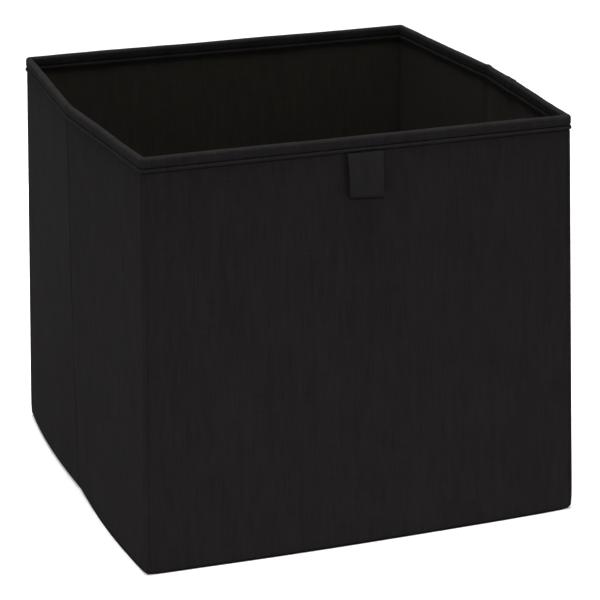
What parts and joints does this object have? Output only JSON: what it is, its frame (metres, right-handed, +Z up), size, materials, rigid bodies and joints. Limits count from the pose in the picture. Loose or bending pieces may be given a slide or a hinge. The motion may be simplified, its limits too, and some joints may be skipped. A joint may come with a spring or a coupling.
{
  "type": "fabric storage bin",
  "caption": "Open-topped square fabric storage bin with board-stiffened walls, a bound rim, a front pull tab, a loose base insert and creased side walls that fold flat.",
  "frame": {"origin": "middle of the underside of the bottom cloth, where the bin stands", "axes": "+Z up, -Y out of the front wall with the pull tab, +X to the right as seen from the front"},
  "size_m": [0.322, 0.316, 0.2911],
  "materials": {
    "outer_cloth": "black plain-weave cloth, matt",
    "lining_cloth": "black lining cloth, matt",
    "binding_tape": "black woven binding tape, matt",
    "insert_cloth": "black lining cloth, matt",
    "tab_cloth": "black plain-weave cloth, matt",
    "stiffener_board": "grey-brown board, matt",
    "insert_board": "grey-brown board, matt"
  },
  "bodies": {
    "front_wall": {"front_outer_cloth": "outer_cloth", "front_board": "stiffener_board", "front_lining": "lining_cloth", "front_binding": "binding_tape", "bottom_cloth": "outer_cloth"},
    "back_wall": {"back_outer_cloth": "outer_cloth", "back_board": "stiffener_board", "back_lining": "lining_cloth", "back_binding": "binding_tape"},
    "left_front_wall": {"left_front_outer_cloth": "outer_cloth", "left_front_board": "stiffener_board", "left_front_lining": "lining_cloth", "left_front_binding": "binding_tape"},
    "left_rear_wall": {"left_rear_outer_cloth": "outer_cloth", "left_rear_board": "stiffener_board", "left_rear_lining": "lining_cloth", "left_rear_binding": "binding_tape"},
    "right_front_wall": {"right_front_outer_cloth": "outer_cloth", "right_front_board": "stiffener_board", "right_front_lining": "lining_cloth", "right_front_binding": "binding_tape"},
    "right_rear_wall": {"right_rear_outer_cloth": "outer_cloth", "right_rear_board": "stiffener_board", "right_rear_lining": "lining_cloth", "right_rear_binding": "binding_tape"},
    "base_insert": {"insert_bottom_cloth": "insert_cloth", "insert_board": "insert_board", "insert_top_cloth": "insert_cloth"},
    "pull_tab": {"pull_tab": "tab_cloth"}
  },
  "joints": [
    {"name": "fold", "type": "hinge", "parent": "front_wall", "child": "left_front_wall", "pos_m": [-0.1501, -0.1501, 0.145], "axis": [0, 0, -1], "range_deg": [0, 82], "deforming": ["bottom_cloth"]},
    {"name": "left_crease", "type": "hinge", "parent": "left_front_wall", "child": "left_rear_wall", "pos_m": [-0.161, 0, 0.145], "axis": [0, 0, 1], "range_deg": [0, 164]},
    {"name": "left_rear_corner", "type": "hinge", "parent": "left_rear_wall", "child": "back_wall", "pos_m": [-0.1501, 0.1501, 0.145], "axis": [0, 0, -1], "range_deg": [0, 82]},
    {"name": "right_front_corner", "type": "hinge", "parent": "front_wall", "child": "right_front_wall", "pos_m": [0.1501, -0.1501, 0.145], "axis": [0, 0, 1], "range_deg": [0, 82]},
    {"name": "right_crease", "type": "hinge", "parent": "right_front_wall", "child": "right_rear_wall", "pos_m": [0.161, 0, 0.145], "axis": [0, 0, -1], "range_deg": [0, 164]},
    {"name": "insert_lift", "type": "slide", "parent": "front_wall", "child": "base_insert", "axis": [0, 0, 1], "range_m": [0, 0.32]},
    {"name": "tab_swing", "type": "hinge", "parent": "front_wall", "child": "pull_tab", "pos_m": [0, -0.1551, 0.2803], "axis": [-1, 0, 0], "range_deg": [0, 90]}
  ],
  "couplings": [
    {"joint": "left_crease", "follows": "fold", "ratio": 2},
    {"joint": "left_rear_corner", "follows": "fold", "ratio": 1},
    {"joint": "right_front_corner", "follows": "fold", "ratio": 1},
    {"joint": "right_crease", "follows": "fold", "ratio": 2}
  ]
}
